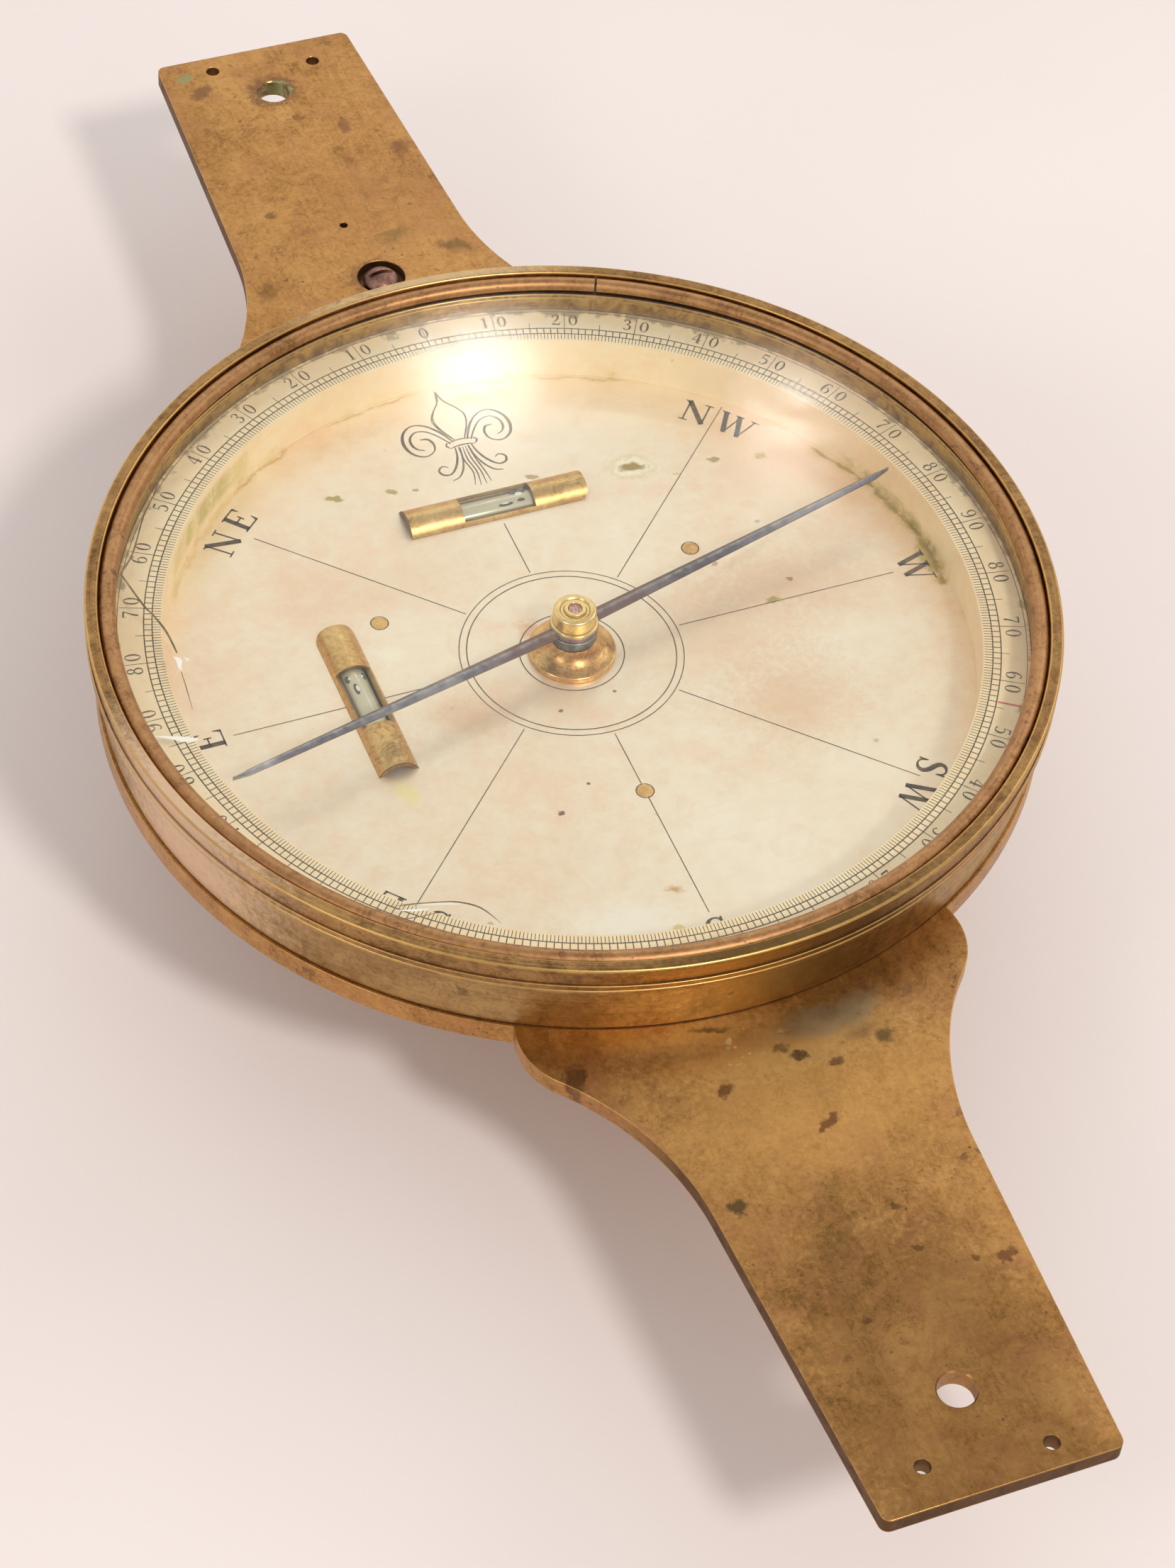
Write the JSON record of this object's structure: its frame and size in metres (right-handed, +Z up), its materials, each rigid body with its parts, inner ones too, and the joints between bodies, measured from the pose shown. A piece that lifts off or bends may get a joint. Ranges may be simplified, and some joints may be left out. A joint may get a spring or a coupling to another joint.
{
  "type": "surveyor's compass",
  "caption": "Plain surveyor's compass: brass plate with two sight arms, glazed box with a raised graduated ring, pivoted needle with lifter, spirit levels and staff socket.",
  "frame": {"origin": "centre of the staff socket's foot, on the surface that the compass stands on", "axes": "+Z up along the compass axis, +Y towards the north arm, +X towards the dial's west letter"},
  "size_m": [0.1588, 0.3344, 0.0563],
  "materials": {
    "patinated_brass": "aged brass, brown and golden, worn lacquer",
    "bright_brass": "yellow brass",
    "silvered_brass": "matt silvering with warm stains",
    "steel": "dulled steel",
    "blued_steel": "blued steel",
    "browned_steel": "browned, slightly rusted",
    "window_glass": "clear, old",
    "vial_glass": "clear tube",
    "jewel": "polished stone"
  },
  "bodies": {
    "frame": {"main_plate": "patinated_brass", "compass_box": "patinated_brass", "box_screws": "patinated_brass", "dial_plate": "silvered_brass", "dial_rivets": "bright_brass", "graduated_ring": "silvered_brass", "ring_screws": "patinated_brass", "level_cover_ew": "bright_brass", "level_cover_ns": "bright_brass", "level_vial_ew": "vial_glass", "level_vial_ns": "vial_glass", "bezel": "patinated_brass", "glass": "window_glass", "spring_ring": "browned_steel", "pivot_post": "bright_brass", "pivot_pin": "steel", "lever_pin": "steel", "lever_bearings": "patinated_brass", "bearing_screws": "steel", "socket_flange": "patinated_brass", "staff_socket": "patinated_brass", "flange_screws": "steel"},
    "lifter_screw": {"lifter_screw": "browned_steel"},
    "lifter_lever": {"lifter_lever": "patinated_brass"},
    "lifter": {"lifter_sleeve": "bright_brass", "push_pins": "steel"},
    "needle": {"needle": "blued_steel", "needle_cap": "bright_brass", "cap_jewel": "jewel", "needle_collar": "steel"},
    "clamp_screw": {"clamp_screw": "bright_brass"}
  },
  "joints": [
    {"name": "lifter_screw_turn", "type": "hinge", "parent": "frame", "child": "lifter_screw", "pos_m": [0.0018, 0.0985, 0.036], "axis": [0, 0, -1], "range_deg": [0, 450]},
    {"name": "lifter_lever_tilt", "type": "hinge", "parent": "frame", "child": "lifter_lever", "pos_m": [0, 0.05, 0.03395], "axis": [-1, 0, 0], "range_deg": [0, 1.15]},
    {"name": "lifter_rise", "type": "slide", "parent": "frame", "child": "lifter", "axis": [0, 0, 1], "range_m": [0, 0.001]},
    {"name": "needle_spin", "type": "hinge", "parent": "lifter", "child": "needle", "pos_m": [0, 0, 0.05], "axis": [0, 0, 1], "continuous": true},
    {"name": "clamp_screw_turn", "type": "hinge", "parent": "frame", "child": "clamp_screw", "pos_m": [0.02, 0, 0.014], "axis": [-1, 0, 0], "range_deg": [0, 720]}
  ],
  "couplings": [
    {"joint": "lifter_lever_tilt", "follows": "lifter_rise", "rad_per_m": 20.001},
    {"joint": "lifter_screw_turn", "follows": "lifter_rise", "rad_per_m": 7853.9}
  ]
}
